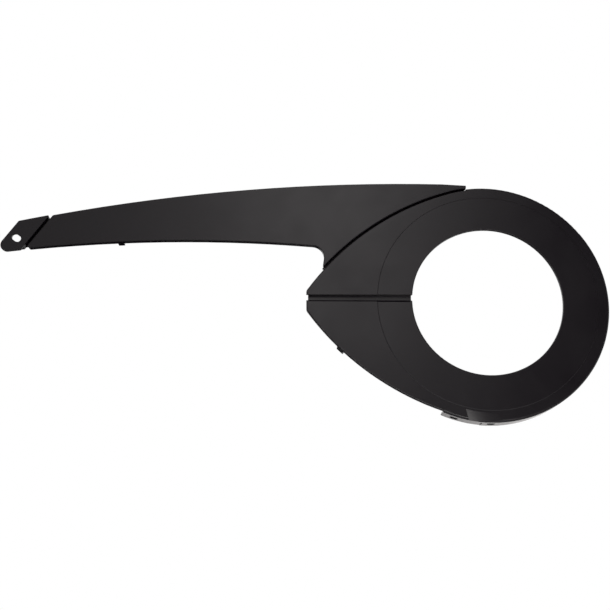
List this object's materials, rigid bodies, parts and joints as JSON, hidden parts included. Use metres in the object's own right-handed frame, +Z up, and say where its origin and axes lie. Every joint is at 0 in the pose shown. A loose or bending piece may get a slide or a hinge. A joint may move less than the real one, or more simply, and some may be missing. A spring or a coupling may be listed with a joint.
{
  "type": "bicycle chain guard",
  "caption": "Drop-shaped chain ring cover with a round crank opening and a skirted rim, carrying a long curved arm over the upper chain run and a slotted end tab.",
  "frame": {"origin": "on the crank axis, in the outer face of the raised disc", "axes": "+X forward along the bicycle, +Y in from the outer face towards the bicycle's frame, +Z up"},
  "size_m": [0.512, 0.0187, 0.2072],
  "materials": {
    "black_plastic": "black injection-moulded plastic, satin with a fine grain"
  },
  "bodies": {
    "root": {"ring_guard": "black_plastic", "arm": "black_plastic", "tail_end": "black_plastic"}
  },
  "joints": []
}
